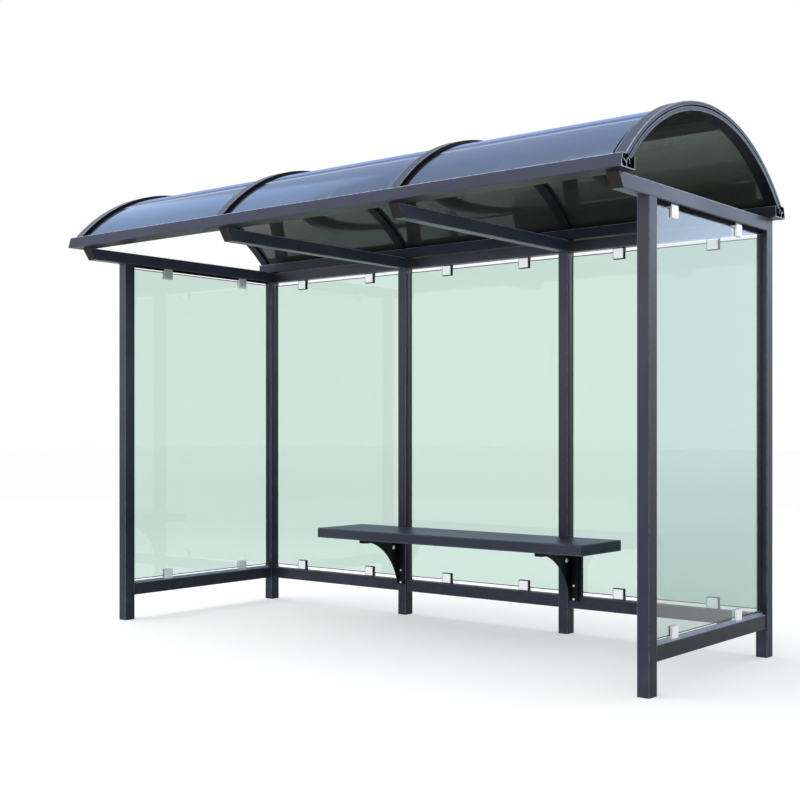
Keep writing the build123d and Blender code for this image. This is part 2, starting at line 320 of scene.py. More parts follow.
def piece(name, parts, replaced=()):
    """One object from closed skins: parts are (skin, finish) or (skin, finishes, finish per face)."""
    finishes, points, faces, wear, finish_of, first = [], [], [], [], [], 0
    for skin, finish, *per_face in parts:
        skin_points, skin_faces, skin_wear = skin
        listed = finish if per_face else [finish]
        finishes += [f for f in listed if f not in finishes]
        order = np.array([finishes.index(f) for f in listed])
        count = sum(len(group) for group in skin_faces)
        finish_of.append(order[per_face[0]] if per_face else np.full(count, order[0]))
        for group in skin_faces:
            faces += (group + first).tolist()
        points.append(skin_points)
        wear.append(skin_wear)
        first += len(skin_points)
    mesh = bpy.data.meshes.new(name)
    mesh.from_pydata(np.concatenate(points).tolist(), [], faces)
    for finish in finishes:
        mesh.materials.append(finish)
    mesh.polygons.foreach_set("material_index", np.concatenate(finish_of).astype(np.int32))
    mesh.attributes.new("wear", "FLOAT", "POINT").data.foreach_set("value", np.concatenate(wear))
    mesh.shade_smooth()
    mesh.set_sharp_from_angle(angle=SHARP)
    made = bpy.data.objects.new(name, mesh)
    bpy.context.scene.collection.objects.link(made)
    weighted = made.modifiers.new("weighted normals", "WEIGHTED_NORMAL")
    weighted.keep_sharp = True
    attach(made, "root")
    if replaced:
        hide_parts(*replaced)


# ---- finishes ------------------------------


def add(tree, kind, links=None, **settings):
    """A node of this kind with its settings, and its inputs linked or set."""
    made = tree.nodes.new("ShaderNode" + kind)
    for name, value in settings.items():
        setattr(made, name, value)
    for socket, value in (links or {}).items():
        if isinstance(value, bpy.types.NodeSocket):
            tree.links.new(value, made.inputs[socket])
        else:
            made.inputs[socket].default_value = value
    return made


def math_of(tree, operation, *values):
    """The result of one sum on values or sockets."""
    return add(tree, "Math", dict(enumerate(values)), operation=operation).outputs[0]


def mix_of(tree, factor, one, two):
    """The colour between one and two."""
    return add(tree, "Mix", {0: factor, 6: one, 7: two}, data_type="RGBA").outputs[2]


def ramp_of(tree, value, low, high, to_low=0.0, to_high=1.0):
    """The value brought from low..high to to_low..to_high and kept there."""
    links = {0: value, 1: low, 2: high, 3: to_low, 4: to_high}
    return add(tree, "MapRange", links, interpolation_type="SMOOTHSTEP").outputs[0]


def noise_of(tree, scale, detail=3.0, stretch=(1, 1, 1), roughness=0.5):
    """Noise on the object's own coordinates, squeezed along an axis to draw it out."""
    place = add(tree, "TexCoord").outputs["Object"]
    mapped = add(tree, "Mapping", {"Vector": place, "Scale": stretch})
    links = {"Vector": mapped.outputs[0], "Scale": scale, "Detail": detail, "Roughness": roughness}
    return add(tree, "TexNoise", links).outputs[0]


def group(name, inputs, outputs, fill):
    """A shader node group: inputs are {name: default}, outputs are {name: socket type}."""
    tree = bpy.data.node_groups.new(name, "ShaderNodeTree")
    for socket, value in inputs.items():
        kind = "NodeSocketColor" if isinstance(value, tuple) else "NodeSocketFloat"
        tree.interface.new_socket(name=socket, in_out="INPUT", socket_type=kind).default_value = value
    for socket, kind in outputs.items():
        tree.interface.new_socket(name=socket, in_out="OUTPUT", socket_type="NodeSocket" + kind)
    into = tree.nodes.new("NodeGroupInput")
    out = tree.nodes.new("NodeGroupOutput")
    for socket, value in fill(tree, into.outputs).items():
        tree.links.new(value, out.inputs[socket])
    return tree


def placed(tree, made_group, **values):
    """A group put in a material, its inputs given by name with _ for spaces."""
    node = tree.nodes.new("ShaderNodeGroup")
    node.node_tree = made_group
    for name, value in values.items():
        node.inputs[name.replace("_", " ")].default_value = value
    return node.outputs


def fill_coating(tree, given):
    """Powder coat: cloudy tone, orange peel, and dust that lies on top. Edges are lighter, partly as
    worn paint and partly as a painted highlight.
    """
    cloud = noise_of(tree, 2.3, 4.0)
    speck = noise_of(tree, 900.0, 1.0)
    peel = noise_of(tree, 420.0, 2.0)
    tone = ramp_of(tree, cloud, 0.3, 0.7, 0.82, 1.18)
    tone = math_of(tree, "MULTIPLY", tone, ramp_of(tree, speck, 0.3, 0.7, 0.93, 1.07))
    toned = add(tree, "VectorMath", {0: given["Colour"], "Scale": tone}, operation="SCALE").outputs[0]
    # edges: partly worn paint, partly a painted highlight of light on their rounding
    wear = add(tree, "Attribute", attribute_name="wear").outputs["Fac"]
    uneven = ramp_of(tree, noise_of(tree, 38.0, 3.0), 0.30, 0.62, 0.35, 1.0)
    worn_and_highlit = math_of(tree, "MULTIPLY", wear, uneven)
    worn_and_highlit = math_of(tree, "MULTIPLY", worn_and_highlit, given["Edge Wear"])
    coloured = mix_of(tree, worn_and_highlit, toned, given["Edge Colour"])
    normal = add(tree, "NewGeometry").outputs["Normal"]
    upward = add(tree, "SeparateXYZ", {0: normal}).outputs[2]
    height = add(tree, "SeparateXYZ", {0: add(tree, "TexCoord").outputs["Object"]}).outputs[2]
    lying = math_of(tree, "MULTIPLY", ramp_of(tree, upward, 0.2, 0.95), given["Dust"])
    splash = math_of(tree, "MULTIPLY", ramp_of(tree, height, 0.35, 0.0), given["Splash"])
    patchy = ramp_of(tree, noise_of(tree, 14.0, 5.0, roughness=0.65), 0.35, 0.7)
    dust_and_foot_shade = math_of(tree, "MULTIPLY", math_of(tree, "ADD", lying, splash), patchy)
    coloured = mix_of(tree, dust_and_foot_shade, coloured, given["Dust Colour"])
    rough = math_of(tree, "ADD", given["Roughness"], ramp_of(tree, cloud, 0.3, 0.7, -0.04, 0.05))
    rough = math_of(tree, "ADD", rough, math_of(tree, "MULTIPLY", dust_and_foot_shade, 0.35))
    rough = math_of(tree, "SUBTRACT", rough, math_of(tree, "MULTIPLY", worn_and_highlit, 0.08))
    rising = ramp_of(tree, height, 0.3, 2.1, given["Low Gloss"], 1.0)
    gloss = math_of(tree, "MULTIPLY", given["Gloss"], rising)
    return {"Colour": coloured, "Roughness": rough, "Height": peel, "Level": gloss}


coating = group(
    "coating",
    {"Colour": (0.02, 0.02, 0.03, 1), "Edge Colour": (0.1, 0.11, 0.13, 1), "Edge Wear": 0.5,
     "Dust Colour": (0.20, 0.21, 0.25, 1), "Dust": 0.1, "Splash": 0.1, "Roughness": 0.4,
     "Gloss": 0.5, "Low Gloss": 1.0},
    {"Colour": "Color", "Roughness": "Float", "Height": "Float", "Level": "Float"},
    fill_coating,
)


def fill_weather(tree, given):
    """Rain marks that run down a slope, specks of dust and a slow change of tone."""
    runs = noise_of(tree, 22.0, 5.0, stretch=(1, 0.07, 0.07), roughness=0.6)
    bands = noise_of(tree, 7.0, 3.0, stretch=(0.05, 1, 1))
    specks = noise_of(tree, 260.0, 2.0)
    marks = math_of(tree, "MULTIPLY", ramp_of(tree, runs, 0.52, 0.78), given["Streaks"])
    fine = math_of(tree, "MULTIPLY", ramp_of(tree, specks, 0.62, 0.8), given["Specks"])
    return {"Dirt": math_of(tree, "ADD", marks, fine), "Tone": ramp_of(tree, bands, 0.3, 0.7)}


weather = group(
    "weather", {"Streaks": 0.1, "Specks": 0.1}, {"Dirt": "Float", "Tone": "Float"}, fill_weather
)


def finish(name):
    """A material with its Principled shader, ready for its patterns."""
    made = bpy.data.materials.new(name)
    made.use_nodes = True
    tree = made.node_tree
    return made, tree, tree.nodes["Principled BSDF"]


def bumped(tree, height, distance, strength=0.5):
    """The normal of a surface with this relief on it."""
    return add(tree, "Bump", {"Height": height, "Distance": distance, "Strength": strength}).outputs[0]


def coated(name, colour, edge, roughness=0.40, level=0.5, low=1.0, wear=0.5, dust=0.05, splash=0.08,
           metallic=0.0, tint=(1, 1, 1)):
    """A powder coated metal; its gloss falls to a share, low, near the ground."""
    made, tree, shader = finish(name)
    looks = placed(
        tree, coating, Colour=(*colour, 1), Edge_Colour=(*edge, 1), Edge_Wear=wear,
        Dust=dust, Splash=splash, Roughness=roughness, Gloss=level, Low_Gloss=low,
    )
    tree.links.new(looks["Colour"], shader.inputs["Base Color"])
    tree.links.new(looks["Roughness"], shader.inputs["Roughness"])
    tree.links.new(bumped(tree, looks["Height"], 0.0002), shader.inputs["Normal"])
    tree.links.new(looks["Level"], shader.inputs["Specular IOR Level"])
    shader.inputs["Metallic"].default_value = metallic
    shader.inputs["Specular Tint"].default_value = (*tint, 1)
    return made


def sheet_outside(name):
    """The outer face of the roof sheets: a blue solar film under a hard gloss.

    Its colour holds a painted reflection of the sky, in strips along the vault: a bluer, satin band
    over the crown, a darker band and then a thin pale line near 27 degrees from the top, and below
    them a greyer, mirror-like film, painted lighter toward that line and darker toward each gutter.
    """
    made, tree, shader = finish(name)
    looks = placed(tree, weather, Streaks=0.30, Specks=0.12)
    place = add(tree, "SeparateXYZ", {0: add(tree, "TexCoord").outputs["Object"]}).outputs
    above = math_of(tree, "SUBTRACT", place[2], VAULT_AXIS)
    turn = math_of(tree, "ABSOLUTE", math_of(tree, "ARCTAN2", place[1], above))
    turn = math_of(tree, "DEGREES", turn)
    # painted reflection: the fade, the crown band, the dark band and the pale line stand for the sky
    reflection_fade = ramp_of(tree, turn, 54.0, 28.0)
    crown_reflection_band = ramp_of(tree, turn, 27.0, 26.6)
    pale_reflection_line = math_of(tree, "MULTIPLY", ramp_of(tree, turn, 26.8, 27.3), ramp_of(tree, turn, 28.8, 27.6))
    dark_reflection_band = math_of(tree, "MULTIPLY", ramp_of(tree, turn, 22.8, 24.6), crown_reflection_band)
    film_and_reflection = mix_of(tree, reflection_fade, (0.096, 0.124, 0.176, 1), (0.160, 0.216, 0.335, 1))
    film_and_reflection = mix_of(tree, crown_reflection_band, film_and_reflection, (0.205, 0.340, 0.720, 1))
    film_and_reflection = mix_of(tree, math_of(tree, "MULTIPLY", dark_reflection_band, 0.85), film_and_reflection, (0.045, 0.075, 0.17, 1))
    film_and_reflection = mix_of(tree, math_of(tree, "MULTIPLY", pale_reflection_line, 0.7), film_and_reflection, (0.42, 0.52, 0.72, 1))
    toned = mix_of(tree, math_of(tree, "MULTIPLY", looks["Tone"], 0.30), film_and_reflection, (0.20, 0.25, 0.35, 1))
    tree.links.new(mix_of(tree, looks["Dirt"], toned, (0.22, 0.24, 0.28, 1)), shader.inputs["Base Color"])
    rough = math_of(tree, "MULTIPLY_ADD", looks["Dirt"], 0.35, 0.11)
    matt = math_of(tree, "MAXIMUM", crown_reflection_band, pale_reflection_line)
    tree.links.new(math_of(tree, "MULTIPLY_ADD", matt, 0.35, rough), shader.inputs["Roughness"])
    tree.links.new(math_of(tree, "MULTIPLY_ADD", matt, -0.6, 0.6), shader.inputs["Metallic"])
    tree.links.new(math_of(tree, "MULTIPLY_ADD", matt, -0.27, 0.3), shader.inputs["Specular IOR Level"])
    wavy = noise_of(tree, 3.0, 1.0, stretch=(0.25, 1, 1))
    tree.links.new(bumped(tree, wavy, 0.004, 0.25), shader.inputs["Normal"])
    shader.inputs["Specular Tint"].default_value = (0.33, 0.46, 0.72, 1)
    return made


def sheet_inside(name):
    """The inner face of the roof sheets: dark smoke with an olive cast, glossy."""
    made, tree, shader = finish(name)
    looks = placed(tree, weather, Streaks=0.10, Specks=0.10)
    toned = mix_of(tree, looks["Tone"], (0.030, 0.034, 0.029, 1), (0.048, 0.053, 0.046, 1))
    tree.links.new(mix_of(tree, looks["Dirt"], toned, (0.08, 0.085, 0.08, 1)), shader.inputs["Base Color"])
    tree.links.new(math_of(tree, "MULTIPLY_ADD", looks["Dirt"], 0.4, 0.03), shader.inputs["Roughness"])
    wavy = noise_of(tree, 3.0, 1.0, stretch=(0.25, 1, 1))
    tree.links.new(bumped(tree, wavy, 0.004, 0.08), shader.inputs["Normal"])
    shader.inputs["Specular IOR Level"].default_value = 0.42
    return made


def plain(name, colour, roughness, metallic=0.0, level=0.5, grain=300.0, depth=0.0001, spread=0.15):
    """A finish with a fine grain: the colour and roughness vary a little with the grain."""
    made, tree, shader = finish(name)
    fine, broad = noise_of(tree, grain, 2.0), noise_of(tree, grain / 25, 3.0)
    lighter = tuple(c * (1 + spread) for c in colour)
    darker = tuple(c * (1 - spread) for c in colour)
    toned = mix_of(tree, ramp_of(tree, broad, 0.3, 0.7), (*darker, 1), (*lighter, 1))
    tree.links.new(toned, shader.inputs["Base Color"])
    rough = ramp_of(tree, fine, 0.3, 0.7, roughness * 0.85, roughness * 1.15)
    tree.links.new(rough, shader.inputs["Roughness"])
    tree.links.new(bumped(tree, fine, depth), shader.inputs["Normal"])
    shader.inputs["Metallic"].default_value = metallic
    shader.inputs["Specular IOR Level"].default_value = level
    return made


def glazing(name, tint, low):
    """Clear glass with a pale green tint; lamps shine through it and come out with a paler cast.

    The tint darkens toward the foot, to a share, low, of itself: painted shade.
    """
    made, tree, shader = finish(name)
    looks = placed(tree, weather, Streaks=0.03, Specks=0.05)
    height = add(tree, "SeparateXYZ", {0: add(tree, "TexCoord").outputs["Object"]}).outputs[2]
    # painted shade: the tint grows darker toward the foot
    dust_and_foot_shade = tuple(t * share for t, share in zip(tint, low))
    toned = mix_of(tree, ramp_of(tree, height, 1.2, 0.3), (*tint, 1), (*dust_and_foot_shade, 1))
    tree.links.new(mix_of(tree, looks["Dirt"], toned, (0.5, 0.55, 0.52, 1)), shader.inputs["Base Color"])
    shader.inputs["Roughness"].default_value = 0.0
    shader.inputs["IOR"].default_value = 1.5
    shader.inputs["Transmission Weight"].default_value = 1.0
    open_way = add(tree, "BsdfTransparent", {"Color": GLASS_CAST})
    shadow = add(tree, "LightPath").outputs["Is Shadow Ray"]
    both = add(tree, "MixShader", {0: shadow, 1: shader.outputs[0], 2: open_way.outputs[0]})
    out = next(n for n in tree.nodes if n.type == "OUTPUT_MATERIAL")
    tree.links.new(both.outputs[0], out.inputs["Surface"])
    return made


GLASS_CAST = (0.80, 0.88, 0.84, 1)
frame_coat = dict(level=0.56, dust=0.03)
# its bright edge colour is a painted highlight along the gutter rims and rib caps, with some wear
roof_coat_highlit = dict(edge=(0.44, 0.50, 0.66), wear=0.85, dust=0.01, splash=0.0)
black_coat = dict(edge=(0.05, 0.05, 0.06), wear=0.3, dust=0.01)
seat_coat = dict(level=0.02, dust=0.02)
plate_metal = dict(colour=(0.93, 0.94, 0.97), roughness=0.30, grain=600.0, depth=0.00003, spread=0.02)

frame_paint = coated("frame paint", (0.027, 0.032, 0.047), (0.13, 0.15, 0.20), low=0.18, **frame_coat)
# beams: a lighter, bluer copy of the frame paint with bright top edges, painted light and highlight
beam_lit_paint = coated("beam paint, painted light", (0.034, 0.045, 0.082), (0.42, 0.47, 0.58), wear=0.9, **frame_coat)
roof_paint = coated("roof paint", (0.030, 0.036, 0.062), level=0.26, **roof_coat_highlit)
cap_paint = coated("rib cap paint", (0.030, 0.042, 0.084), level=0.20, **roof_coat_highlit)
rib_side = coated("rib side paint", (0.014, 0.015, 0.020), level=0.08, splash=0.0, **black_coat)
bench_paint = coated(
    "bench paint", (0.042, 0.049, 0.068), (0.12, 0.14, 0.18),
    metallic=0.45, tint=(0.86, 0.80, 1.0), **seat_coat,
)
# a lighter, more metallic copy of the bench paint for the seat's top: painted light from above
bench_lit_top = coated(
    "bench top paint, painted light", (0.115, 0.122, 0.160), (0.20, 0.23, 0.30),
    metallic=0.85, tint=(0.80, 0.82, 1.0), **seat_coat,
)
bracket_paint = coated("bracket paint", (0.004, 0.004, 0.005), level=0.10, splash=0.02, **black_coat)
film = sheet_outside("roof sheet film with painted reflection")
smoke = sheet_inside("roof sheet smoke")
sheet_edge = plain("roof sheet edge", (0.03, 0.04, 0.05), 0.3)
rubber = plain("black rubber", (0.005, 0.005, 0.006), 0.70, level=0.06, grain=500.0)
plug_plastic = plain("brown black plastic", (0.022, 0.017, 0.016), 0.6, level=0.12)
chrome = plain("clamp plate", metallic=0.12, **plate_metal)
bright = plain("clamp side plate", metallic=0.5, **plate_metal)
pad = plain("clamp pad", (0.45, 0.48, 0.50), 0.5, grain=500.0)
clamp_body = plain("clamp body", (0.020, 0.021, 0.024), 0.45, level=0.4, grain=500.0)
cut_metal = plain("cut metal", (0.36, 0.38, 0.46), 0.42, metallic=0.3, grain=700.0, spread=0.10)
gutter_shade = plain("gutter inside, painted shade", (0.006, 0.006, 0.007), 0.7, level=0.15, grain=200.0)
zinc = plain("bolt zinc", (0.94, 0.94, 0.95), 0.28, metallic=0.7, grain=400.0, spread=0.04)
# the sill's light blue-grey is a painted highlight on the rail's top
sill_highlight_metal = plain("sill strip, painted highlight", (0.36, 0.42, 0.55), 0.45, metallic=0.3, grain=500.0, spread=0.10)
glass = glazing("pale green glass", (0.63, 0.79, 0.715), (0.90, 0.90, 0.90))
# right end: a bluer tint, partly a painted reflection, and a darker foot, painted shade
right_glass_with_reflection = glazing("right end glass, painted reflection and shade", (0.80, 0.875, 0.900), (0.64, 0.69, 0.64))
glass_edge = plain("ground glass edge", (0.050, 0.075, 0.066), 0.35, grain=800.0)

# ---- pieces ------------------------------

POSTS = ["post_front_left", "post_front_right"] + [
    f"post_back_{side}" for side in ("left", "mid_left", "mid_right", "right")
]
LINES = ("left", "mid_left", "mid_right", "right")
BAYS = ("left", "middle", "right")


def post(node):
    """An upright tube, open at its cut ends."""
    low, high = box(node)
    size, middle = high - low, (low + high) / 2
    loops = [rectangle(*size[:2]), rectangle(*size[:2] - 2 * TUBE_WALL, **BORE)]
    skin = extruded(loops, cut_ends(size[2]), straight((middle[0], middle[1], low[2]), X, Y, Z))
    piece(f"{node}_tube", [(skin, frame_paint)], [node])


def beam(node):
    """A cross beam: a tube whose front end is cut at a slant and closed by a plastic plug.

    The plug has a body in the bore and a flange over the tube's whole end.
    """
    low, high = box(node)
    size, middle = high - low, (low + high) / 2
    slope = BEAM_TIP / size[2]
    origin = np.array([middle[0], low[1], middle[2]])

    def place(u, v, w):
        u, v, w = np.broadcast_arrays(u, v, w)
        y = w + np.where(w < size[1] / 2, slope * (size[2] / 2 - v), 0)
        return origin + np.stack([u, y, v], axis=-1)

    outside = size[[0, 2]]
    hollow = outside - 2 * TUBE_WALL
    tube = [rectangle(*outside), rectangle(*hollow, **BORE)]
    plug = [rectangle(*hollow - PLUG_SLACK, **BORE)]
    flange = [rectangle(*outside - PLUG_SLACK)]
    along, depth, worn = cut_ends(size[1] - PLUG_FLANGE)
    points, faces, wear = extruded(tube, (along + PLUG_FLANGE, depth, worn), place)
    # painted highlight: only the edges along the top are drawn bright
    wear = wear * (points[:, 2] > high[2] - TOP_HIGHLIGHT_BAND)
    along, depth, worn = cut_ends(PLUG_DEPTH, PLUG_LIP)
    parts = [
        ((points, faces, wear), beam_lit_paint),
        (extruded(plug, (along + 2 * PLUG_SLACK, depth, worn), place), plug_plastic),
        (extruded(flange, cut_ends(PLUG_FLANGE, PLUG_LIP), place), plug_plastic),
    ]
    piece(f"{node}_tube", parts, [node])


def rail(node):
    """A rail between two posts, along X at the back and along Y at the ends."""
    low, high = box(node)
    size, middle = high - low, (low + high) / 2
    run = 0 if size[0] > size[1] else 1
    across, along = (Y, X) if run == 0 else (X, Y)
    origin = middle - along * size[run] / 2
    loops = [rectangle(size[1 - run], size[2])]
    skin = extruded(loops, cut_ends(size[run]), straight(origin, across, Z, along))
    piece(f"{node}_tube", [(skin, frame_paint)], [node])


def arc(centre, radius, start, end, count):
    """Points of an arc, angles in degrees."""
    turn = np.radians(np.linspace(start, end, count))
    return np.stack([np.cos(turn), np.sin(turn)], axis=1) * radius + centre


def gutter_sections(width, rim):
    """The loops of a gutter's section: wall, web, screw channel, and a hollow boss.

    Points are (distance in from the outer bottom edge, height above the underside). The wall is a
    floor with a leaning, lipped outer side and a lower inner side. The web is a curved stem with one
    arm, and the channel is shaped like a C.
    """
    skin, lean = GUTTER_SKIN, GUTTER_LEAN / rim
    wall = [
        (0, 0), (GUTTER_LEAN, rim), (GUTTER_LEAN + GUTTER_LIP, rim), (GUTTER_LEAN + GUTTER_LIP, rim - skin),
        (skin + lean * (rim - skin), rim - skin), (skin + lean * skin, skin), (width - skin, skin),
        (width - skin, GUTTER_INNER_WALL), (width, GUTTER_INNER_WALL), (width, 0),
    ]
    web = [
        (WEB_STEM + 0.0015, skin - 0.0005), (WEB_STEM - 0.0025, skin - 0.0005), (WEB_STEM - 0.0045, 0.018),
        (WEB_STEM - 0.0075, 0.0225), (0.0235, 0.0325), (0.0245, 0.0365), (WEB_STEM - 0.0045, 0.0275),
        (WEB_STEM + 0.0005, 0.0285), (WEB_STEM + 0.0025, 0.0225), (WEB_STEM - 0.0005, 0.0165),
    ]
    middle = (WEB_STEM + 0.0125, 0.0285)
    channel = np.concatenate([arc(middle, 0.0140, -48, 205, 21), arc(middle, 0.0108, 205, -48, 21)])
    boss = (0.0125, 0.0082)
    corners = np.full(len(wall), 0.0008)
    corners[1] = 0.0025
    return [
        [outline(wall, radius=corners, flat=0.002)],
        [outline(web, radius=0.0008, flat=0.001)],
        [(channel, np.full(len(channel), 0.3))],
        [circle(0.0050, boss, 20, 0.3), circle(0.0022, boss, 20)],
    ]


def gutter(node, side):
    """An extruded gutter, its section carried along X.

    Its inside and its underside are drawn near black: painted shade.
    """
    low, high = box(node)
    size = high - low
    half, rim, lean = GUTTER_SKIN / 2, size[2], GUTTER_LEAN / size[2]
    outer = low[1] if side < 0 else high[1]
    place = straight((low[0], outer, low[2]), -side * Y, Z, X)
    parts = []
    for number, section in enumerate(gutter_sections(size[1], rim)):
        skin = extruded(section, cut_ends(size[0], 0.0004), place)
        across = (face_centres(skin)[:, 1] - outer) * -side
        height = face_centres(skin)[:, 2] - low[2]
        inside = (across > half + lean * height) & (across < size[1] - half)
        inside &= (height > half) & (height < rim - half)
        facing = face_normals(skin)
        # painted shade: faces inside get the near-black gutter finish, faces below the black rib paint
        which = np.where(abs(facing[:, 0]) > 0.5, 1, np.where(inside | (number > 0), 2, 0))
        which[(which == 0) & (facing[:, 2] < -0.9)] = 3
        points, faces, wear = skin
        # painted highlight: only the top edges of the gutter are drawn bright
        wear = wear * (points[:, 2] > high[2] - TOP_HIGHLIGHT_BAND)
        parts.append(((points, faces, wear), [roof_paint, cut_metal, gutter_shade, rib_side], which))
    piece(f"{node}_section", parts, [node])


def rib(node):
    """An arched rib: base bar, core and cap strip, the cap trimmed a little above the rest."""
    low, high = box(node)
    half, core = (high[0] - low[0]) / 2, RIB_CORE / 2
    top = VAULT_RADIUS
    cap, groove = top - RIB_CAP, top - RIB_CAP - RIB_GROOVE
    base, gutter_floor = groove - RIB_BASE, box("gutter_front")[0][2]
    x = (low[0] + high[0]) / 2
    strip = [(-half, cap), (half, cap), (half, top), (-half, top)]
    upper = outline(strip, radius=(0.001, 0.001, 0.003, 0.003))
    lower = outline(
        [(-half, base), (half, base), (half, groove), (core, groove), (core, cap + 0.0002),
         (-core, cap + 0.0002), (-core, groove), (-half, groove)],
        radius=(0.003, 0.003, 0.0015, 0.0004, 0.0004, 0.0004, 0.0004, 0.0015),
    )
    outward = {"roof_rib_left": -1, "roof_rib_right": 1}.get(node, 0)
    parts = []
    for section, foot in ((upper, CAP_FOOT), (lower, BASE_FOOT)):
        skin = extruded([section], arch_rows(), arched(x, gutter_floor + foot))
        facing, out = face_normals(skin), radial(skin)
        sides = (abs(facing[:, 0]) > 0.5) & (facing[:, 0] * outward < 0.5)
        which = np.where(sides | (out < -0.5), 2, np.where(abs(facing[:, 0]) > 0.5, 0, 1))
        parts.append((skin, [roof_paint, cap_paint, rib_side], which))
    piece(f"{node}_arch", parts, [node])


def roof_sheet(node):
    """A curved sheet: its film outside, with a painted reflection, and its smoke colour inside."""
    low, high = box(node)
    middle = VAULT_RADIUS - RIB_CAP - RIB_GROOVE / 2
    loops = [rectangle(high[0] - low[0], SHEET, (0, middle), radius=0.0004, flat=0.0006, steps=2)]
    skin = extruded(loops, arch_rows(), arched((low[0] + high[0]) / 2, low[2]))
    out = radial(skin)
    which = np.where(out > 0.7, 0, np.where(out < -0.7, 1, 2))
    piece(f"{node}_shell", [(skin, [film, smoke, sheet_edge], which)], [node])


def seals():
    """Rubber strips on the sheets along both sides of every rib's cap, each with a raised lip.

    The section is (distance out from the cap's side, height above the sheet); it reaches 6 mm under
    the cap, in the groove.
    """
    low, high = box("rib_seals")
    face = VAULT_RADIUS - RIB_CAP - RIB_GROOVE / 2 + SHEET / 2
    gap, inside = RIB_GROOVE / 2 - SHEET / 2 - 0.0001, 0.006
    tall = VAULT_RADIUS - RIB_CAP - face + 0.0025
    lines = [(box(f"roof_rib_{line}")[0][0] + box(f"roof_rib_{line}")[1][0]) / 2 for line in LINES]
    half = (rib_high[0] - rib_low[0]) / 2
    width = low[0] - lines[0] - half + 0.026
    parts = []
    section = np.array([
        (-inside, 0), (width, 0), (width, 0.0010), (width - 0.003, tall), (width - 0.006, 0.0018),
        (0.004, 0.0012), (0.002, gap), (-inside, gap),
    ])
    for x, way in [(x, 1) for x in lines[:-1]] + [(x, -1) for x in lines[1:]]:
        loops = [outline(section * (way, 1) + (0, face), radius=0.00012, flat=0.0002, steps=2)]
        parts.append((extruded(loops, arch_rows(), arched(x + way * half, low[2])), rubber))
    piece("rib_seals_strips", parts, ["rib_seals"])


def pane(node, normal, sheet):
    """A sheet of glass with seamed edges; normal is the axis across its thickness."""
    low, high = box(node)
    skin = plate(low, high, normal, radius=0.0055, lip=0.0008, border=EDGE_BAND)
    away = np.minimum(face_centres(skin) - low, high - face_centres(skin))
    away[:, normal] = 1
    rim = (abs(face_normals(skin)[:, normal]) < 0.9) | (away.min(axis=1) < EDGE_BAND)
    piece(f"{node}_pane", [(skin, [sheet, glass_edge], rim.astype(int))], [node])


def end_strips(end):
    """Two strips at an end of the shelter: a light sill on the rail and a black strip under the beam.

    The sill's section is a low base as wide as the rail with a rib on its middle, and its light
    colour is a painted highlight on the rail's top. The black strip is a bar, painted shade for the
    shadow line under the beam. Both run the length of the glass and are narrower than the clamps at
    its edges.
    """
    glass_low, glass_high = box(f"glass_side_{end}")
    rail_low, rail_high = box(f"side_rail_{end}")
    head = box(f"cross_beam_{end}")[0][2]
    middle, half = (glass_low[0] + glass_high[0]) / 2, (rail_high[0] - rail_low[0]) / 2 - 0.001
    run, thin, base = glass_high[1] - glass_low[1], 0.010, 0.0025
    section = [
        (-half, 0), (half, 0), (half, base), (thin, base),
        (thin, SILL), (-thin, SILL), (-thin, base), (-half, base),
    ]
    loops = [outline(section, radius=0.001, flat=0.001)]
    sill = extruded(loops, cut_ends(run), straight((middle, glass_low[1], rail_high[2]), X, Z, Y))
    piece(f"end_sill_{end}", [(sill, sill_highlight_metal)])
    low, high = (middle - thin, glass_low[1], head - HEAD_SHADOW_STRIP), (middle + thin, glass_high[1], head)
    # painted shade: a black bar where the shadow line under the beam falls
    piece(f"end_shadow_strip_{end}", [(plate(low, high, 1, radius=0.002), rubber)])


def clamp(centre, normal, rail_way, hidden, jaws, plates):
    """One clamp: bright face plates on square jaws, the foot block, a foot tab and a screw.

    normal is the axis across the glass, rail_way is -1 where the rail is below the clamp and 1 where
    it is above, and hidden is the side of the glass that the tab and the screw are on. jaws and
    plates are the finishes of those parts; dark jaws have black pads.
    """
    out, along = np.eye(3)[normal], np.eye(3)[1 - normal]
    wide, tall, inner, outer = CLAMP_WIDTH / 2, CLAMP_HEIGHT / 2, CLAMP_GLASS_SIDE, CLAMP_FACE
    soft = rubber if jaws is clamp_body else pad
    parts = []

    def slab(u, v, w, finish_used, radius, lip):
        """A plate between two values each along the sheet, up and across the glass."""
        ends = [centre + along * a + Z * b + out * c for a, b, c in zip(u, v, w)]
        parts.append((plate(np.minimum(*ends), np.maximum(*ends), normal, radius, lip), finish_used))

    foot = sorted((rail_way * tall, rail_way * (tall - CLAMP_FOOT)))
    mouth = sorted((-rail_way * tall, rail_way * (tall - CLAMP_FOOT)))
    across, up, under = wide - CLAMP_RIM, tall - CLAMP_RIM, outer - CLAMP_PLATE
    for side in (-1, 1):
        slab((-wide, wide), (-tall, tall), (side * inner, side * under), jaws, 0.003, 0.0010)
        slab((-across, across), (-up, up), (side * under, side * outer), plates, 0.0025, 0.0012)
        slab((-wide, wide), mouth, (side * (inner - CLAMP_PAD), side * inner), soft, 0.002, 0.0002)
    slab((-wide + 0.001, wide - 0.001), foot, (-inner, inner), jaws, 0.001, 0.0004)
    tab = sorted((rail_way * tall, rail_way * (tall - 0.008)))
    reach = hidden * inner, hidden * (outer - 0.0045)
    slab((-wide - 0.008, wide - 0.020), tab, reach, plates, 0.0015, 0.0010)
    head = straight(centre + out * hidden * (outer - 0.0004), along, Z, out * hidden)
    rows = np.array([0.0, 0.0016, 0.0024, 0.0026]), np.array([0, 0, 0.0006, 0.0012]), np.zeros(4)
    parts.append((extruded([circle(0.006, count=24), circle(0.0026, count=6)], rows, head), zinc))
    return parts


